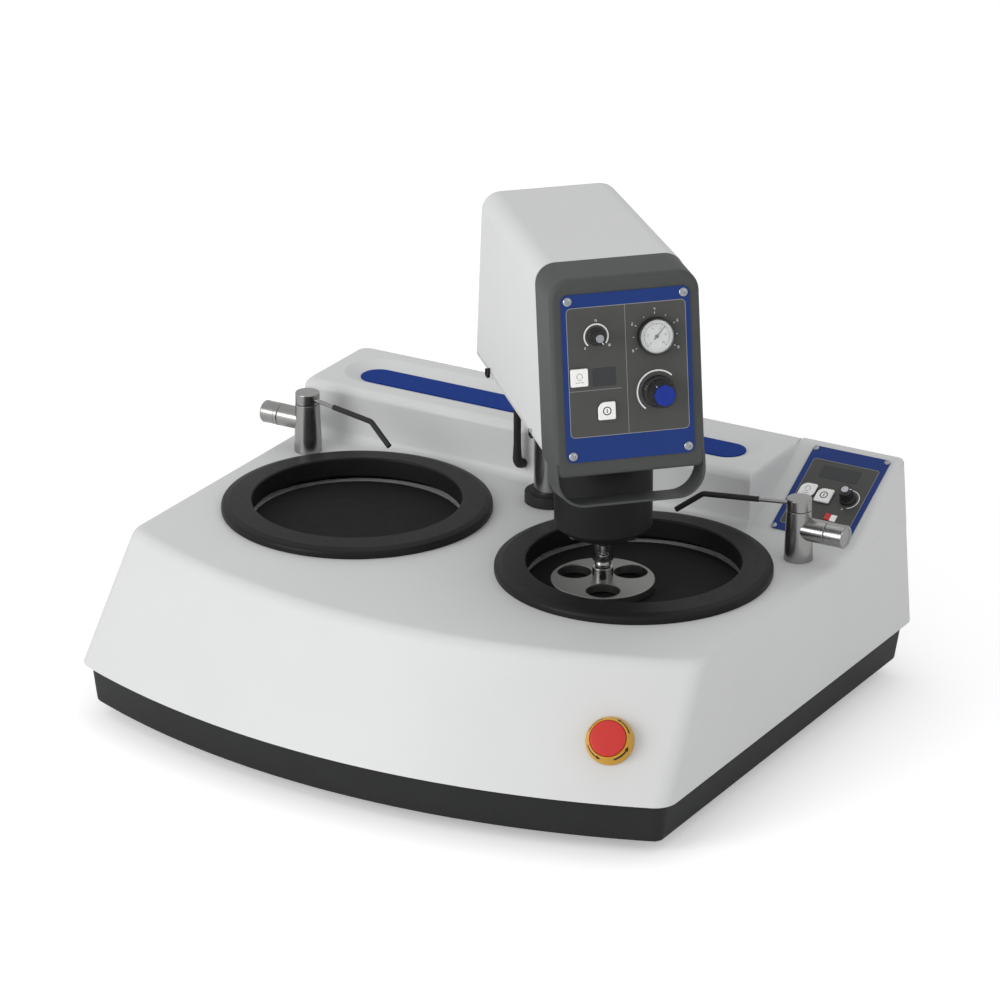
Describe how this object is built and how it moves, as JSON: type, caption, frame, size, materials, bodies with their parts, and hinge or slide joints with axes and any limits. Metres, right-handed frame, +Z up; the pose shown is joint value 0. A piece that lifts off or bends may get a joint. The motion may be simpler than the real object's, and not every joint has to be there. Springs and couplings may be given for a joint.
{
  "type": "metallographic grinder-polisher",
  "caption": "Bench-top twin-disc grinding and polishing machine with splash rings, water taps, a sloping console and a swinging specimen-mover head on a column.",
  "frame": {"origin": "on the bench under the middle of the footprint, which includes the tap knobs and the hose connections", "axes": "+X to the operator's right, +Y towards the back, +Z up"},
  "size_m": [0.7886, 0.704, 0.587],
  "materials": {
    "housing_paint": "light grey, fine leather-grain",
    "tray_paint": "dark grey, fine grain",
    "foot_rubber": "matt",
    "cast_grey": "as cast, painted",
    "liner_blue": "matt blue",
    "bowl_plastic": "matt dark grey",
    "platen_aluminium": "turned",
    "disc_abrasive": "fine abrasive",
    "steel": "machined",
    "polished_steel": "bright plated",
    "belt_rubber": "matt",
    "black_plastic": "satin black",
    "fascia_paint": "dark grey, fine grain",
    "panel_film": "printed blue and grey film",
    "clear_glass": "clear",
    "white_plastic": "satin white",
    "red_plastic": "gloss red",
    "yellow_plastic": "gloss yellow",
    "brass": "turned"
  },
  "bodies": {
    "base": {"base_tray": "tray_paint", "feet": "foot_rubber", "chassis": "cast_grey", "body_shell": "housing_paint", "tray_liner": "liner_blue", "left_bowl": "bowl_plastic", "right_bowl": "bowl_plastic", "drive_motor": "cast_grey", "drive_belts": "belt_rubber", "column": "polished_steel", "column_flange": "tray_paint", "cable_conduit": "black_plastic", "left_tap_pillar": "polished_steel", "right_tap_pillar": "polished_steel", "console_panel": "panel_film", "console_screws": "polished_steel", "estop_collar": "yellow_plastic", "mains_inlet": "black_plastic", "hose_fittings": "brass"},
    "left_ring": {"left_splash_ring": "bowl_plastic"},
    "right_ring": {"right_splash_ring": "bowl_plastic"},
    "left_disc_drive": {"left_platen": "platen_aluminium", "left_disc": "disc_abrasive", "left_spindle": "steel"},
    "right_disc_drive": {"right_platen": "platen_aluminium", "right_disc": "disc_abrasive", "right_spindle": "steel"},
    "motor_drive": {"motor_pulley": "steel"},
    "left_spout_arm": {"left_spout": "polished_steel", "left_spout_sleeve": "belt_rubber"},
    "right_spout_arm": {"right_spout": "polished_steel", "right_spout_sleeve": "belt_rubber"},
    "left_tap": {"left_tap_knob": "polished_steel"},
    "right_tap": {"right_tap_knob": "polished_steel"},
    "leaf_button": {"console_leaf_button": "white_plastic"},
    "square_button": {"console_square_button": "white_plastic"},
    "speed_knob": {"console_knob": "black_plastic"},
    "rocker": {"console_rocker": "red_plastic"},
    "stop_stem": {"estop_stem": "steel"},
    "stop_head": {"estop_head": "red_plastic"},
    "head": {"head_frame": "cast_grey", "head_shell": "housing_paint", "head_fascia": "fascia_paint", "head_panel": "panel_film", "head_panel_screws": "polished_steel", "gauge_case": "black_plastic", "gauge_lens": "clear_glass", "head_motor": "cast_grey", "spindle_housing": "fascia_paint"},
    "needle": {"gauge_needle": "black_plastic"},
    "pressure_control": {"pressure_knob": "black_plastic"},
    "timer_control": {"timer_knob": "black_plastic"},
    "head_button": {"head_square_button": "white_plastic"},
    "start_button": {"head_start_button": "white_plastic"},
    "mover_plate": {"drive_plate": "tray_paint"},
    "mover_shaft": {"drive_shaft": "tray_paint", "sample_holder": "steel"},
    "press_finger_1": {"finger_1": "polished_steel"},
    "press_finger_2": {"finger_2": "polished_steel"},
    "press_finger_3": {"finger_3": "polished_steel"}
  },
  "joints": [
    {"name": "left_ring_lift", "type": "slide", "parent": "base", "child": "left_ring", "axis": [0, 0, 1], "range_m": [0, 0.028]},
    {"name": "right_ring_lift", "type": "slide", "parent": "base", "child": "right_ring", "axis": [0, 0, 1], "range_m": [0, 0.028]},
    {"name": "right_platen_spin", "type": "hinge", "parent": "base", "child": "right_disc_drive", "pos_m": [0.186, 0.014, 0.172], "axis": [0, 0, 1], "continuous": true},
    {"name": "left_platen_spin", "type": "hinge", "parent": "base", "child": "left_disc_drive", "pos_m": [-0.186, 0.014, 0.172], "axis": [0, 0, 1], "continuous": true},
    {"name": "motor_spin", "type": "hinge", "parent": "base", "child": "motor_drive", "pos_m": [0, -0.141, 0.09], "axis": [0, 0, 1], "continuous": true},
    {"name": "left_spout_swivel", "type": "hinge", "parent": "base", "child": "left_spout_arm", "pos_m": [-0.333, 0.138, 0.268], "axis": [0, 0, 1], "range_deg": [-90, 25]},
    {"name": "right_spout_swivel", "type": "hinge", "parent": "base", "child": "right_spout_arm", "pos_m": [0.333, 0.138, 0.268], "axis": [0, 0, 1], "range_deg": [-25, 90]},
    {"name": "left_tap_turn", "type": "hinge", "parent": "base", "child": "left_tap", "pos_m": [-0.38, 0.138, 0.239], "axis": [-1, 0, 0], "range_deg": [0, 180]},
    {"name": "right_tap_turn", "type": "hinge", "parent": "base", "child": "right_tap", "pos_m": [0.38, 0.138, 0.239], "axis": [1, 0, 0], "range_deg": [0, 180]},
    {"name": "leaf_button_press", "type": "slide", "parent": "base", "child": "leaf_button", "axis": [0, 0.5057, -0.8627], "range_m": [0, 0.0012], "stiffness_N_per_m": 400},
    {"name": "square_button_press", "type": "slide", "parent": "base", "child": "square_button", "axis": [0, 0.5057, -0.8627], "range_m": [0, 0.0012], "stiffness_N_per_m": 400},
    {"name": "speed_knob_turn", "type": "hinge", "parent": "base", "child": "speed_knob", "pos_m": [0.338, 0.24835, 0.24111], "axis": [0, 0.5057, -0.8627], "range_deg": [-135, 135]},
    {"name": "rocker_tilt", "type": "hinge", "parent": "base", "child": "rocker", "pos_m": [0.329, 0.22629, 0.21745], "axis": [0, -0.8627, -0.5057], "range_deg": [0, 16]},
    {"name": "stop_push", "type": "slide", "parent": "base", "child": "stop_stem", "axis": [-0.2757, 0.7808, -0.5607], "range_m": [0, 0.005]},
    {"name": "stop_twist", "type": "hinge", "parent": "stop_stem", "child": "stop_head", "pos_m": [0.31414, -0.27197, 0.13141], "axis": [0.2757, -0.7808, 0.5607], "range_deg": [0, 30], "stiffness_Nm_per_rad": 0.05},
    {"name": "head_swing", "type": "hinge", "parent": "base", "child": "head", "pos_m": [0, 0.147, 0.43], "axis": [0, 0, 1], "range_deg": [-4, 13]},
    {"name": "mover_spin", "type": "hinge", "parent": "head", "child": "mover_plate", "pos_m": [0.1617, -0.0147, 0.27], "axis": [0, 0, 1], "continuous": true},
    {"name": "holder_lift", "type": "slide", "parent": "mover_plate", "child": "mover_shaft", "axis": [0, 0, 1], "range_m": [0, 0.02]},
    {"name": "finger_1_press", "type": "slide", "parent": "mover_plate", "child": "press_finger_1", "axis": [0, 0, -1], "range_m": [0, 0.016], "stiffness_N_per_m": 300},
    {"name": "finger_2_press", "type": "slide", "parent": "mover_plate", "child": "press_finger_2", "axis": [0, 0, -1], "range_m": [0, 0.016], "stiffness_N_per_m": 300},
    {"name": "finger_3_press", "type": "slide", "parent": "mover_plate", "child": "press_finger_3", "axis": [0, 0, -1], "range_m": [0, 0.016], "stiffness_N_per_m": 300},
    {"name": "pressure_knob_turn", "type": "hinge", "parent": "head", "child": "pressure_control", "pos_m": [0.26548, -0.07181, 0.45937], "axis": [-0.6968, 0.6968, -0.1702], "range_deg": [0, 270]},
    {"name": "needle_turn", "type": "hinge", "parent": "head", "child": "needle", "pos_m": [0.25272, -0.05976, 0.51976], "axis": [-0.6968, 0.6968, -0.1702], "range_deg": [0, 270]},
    {"name": "timer_knob_turn", "type": "hinge", "parent": "head", "child": "timer_control", "pos_m": [0.20578, -0.10828, 0.52503], "axis": [-0.6968, 0.6968, -0.1702], "range_deg": [0, 270]},
    {"name": "head_button_press", "type": "slide", "parent": "head", "child": "head_button", "axis": [-0.6968, 0.6968, -0.1702], "range_m": [0, 0.0012], "stiffness_N_per_m": 400},
    {"name": "start_button_press", "type": "slide", "parent": "head", "child": "start_button", "axis": [-0.6968, 0.6968, -0.1702], "range_m": [0, 0.0012], "stiffness_N_per_m": 400}
  ],
  "couplings": [
    {"joint": "left_platen_spin", "follows": "right_platen_spin", "ratio": 1},
    {"joint": "motor_spin", "follows": "right_platen_spin", "ratio": 2.5},
    {"joint": "needle_turn", "follows": "pressure_knob_turn", "ratio": 0.9}
  ]
}
